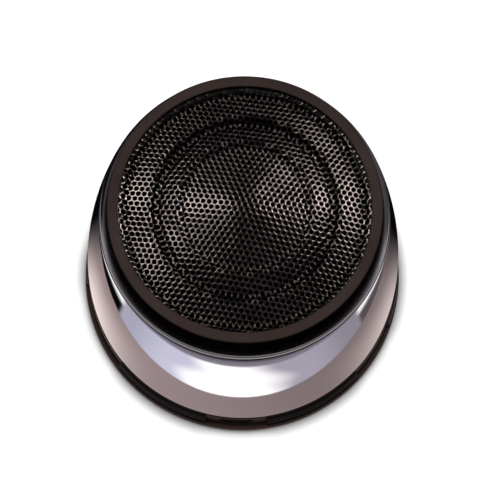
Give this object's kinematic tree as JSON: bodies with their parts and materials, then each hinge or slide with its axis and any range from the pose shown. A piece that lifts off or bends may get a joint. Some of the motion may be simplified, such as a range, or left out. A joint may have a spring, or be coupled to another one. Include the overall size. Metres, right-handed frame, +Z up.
{
  "type": "surface-mount tweeter pod",
  "caption": "Round surface-mount tweeter pod: embossed perforated grille in a flat bezel, polished tapered barrel and a low twist-lock ring with rubber grip pads.",
  "frame": {"origin": "centre of the face that rests on the dash, on the pod's turning axis", "axes": "+Z up along the axis, out through the grille; -Y is the front, between the two long grip pads; +X is to the right seen from the front"},
  "size_m": [0.0586, 0.0586, 0.0504],
  "materials": {
    "bezel_coat": "satin, nearly black brown",
    "grille_steel": "perforated, bright on a black ground",
    "barrel_chrome": "polished, slightly smoked",
    "ring_plastic": "dark brown gloss",
    "pad_rubber": "matte black",
    "black_plastic": "fine grain",
    "cloth_black": "woven dust cloth",
    "dome_silk": "coated silk",
    "former_film": "thin foil",
    "copper_wire": "enamelled copper",
    "motor_steel": "zinc plated",
    "magnet_nickel": "nickel plated",
    "screw_zinc": "zinc plated",
    "felt_grey": "pressed felt",
    "board_green": "solder mask",
    "strip_tan": "phenolic sheet",
    "tab_brass": "tinned brass",
    "wire_red": "insulation",
    "wire_black": "insulation",
    "capacitor_sleeve": "shrink sleeve",
    "resistor_ceramic": "cement body",
    "terminal_green": "moulded",
    "foam_black": "closed-cell foam"
  },
  "bodies": {
    "pod": {"bezel_ring": "bezel_coat", "grille": "grille_steel", "body_shell": "barrel_chrome", "cable_grommet": "pad_rubber", "bezel_gasket": "pad_rubber", "grille_spacer": "black_plastic", "grille_clip_ring": "black_plastic", "driver_faceplate": "black_plastic", "chamber_floor": "black_plastic", "base_plate": "black_plastic", "dust_cloth": "cloth_black", "surround": "dome_silk", "crossover_inductor": "copper_wire", "copper_cap": "copper_wire", "top_plate": "motor_steel", "yoke": "motor_steel", "magnet_ring": "magnet_nickel", "faceplate_screws": "screw_zinc", "board_screws": "screw_zinc", "floor_screws": "screw_zinc", "pole_felt": "felt_grey", "chamber_damping": "felt_grey", "friction_washer": "felt_grey", "crossover_board": "board_green", "terminal_strip": "strip_tan", "terminal_tabs": "tab_brass", "lead_positive": "wire_red", "lead_negative": "wire_black", "crossover_capacitor": "capacitor_sleeve", "level_resistor": "resistor_ceramic", "input_terminal_block": "terminal_green", "mounting_pad": "foam_black"},
    "twist_ring": {"lock_ring": "ring_plastic", "grip_pads": "pad_rubber"},
    "diaphragm": {"dome_diaphragm": "dome_silk", "coil_former": "former_film", "voice_coil": "copper_wire"}
  },
  "joints": [
    {"name": "ring_twist", "type": "hinge", "parent": "pod", "child": "twist_ring", "pos_m": [0, 0, 0], "axis": [0, 0, 1], "range_deg": [0, 25]},
    {"name": "diaphragm_travel", "type": "slide", "parent": "pod", "child": "diaphragm", "axis": [0, 0, 1], "range_m": [-0.0004, 0.0004], "stiffness_N_per_m": 1200, "deforming": ["surround"]}
  ]
}
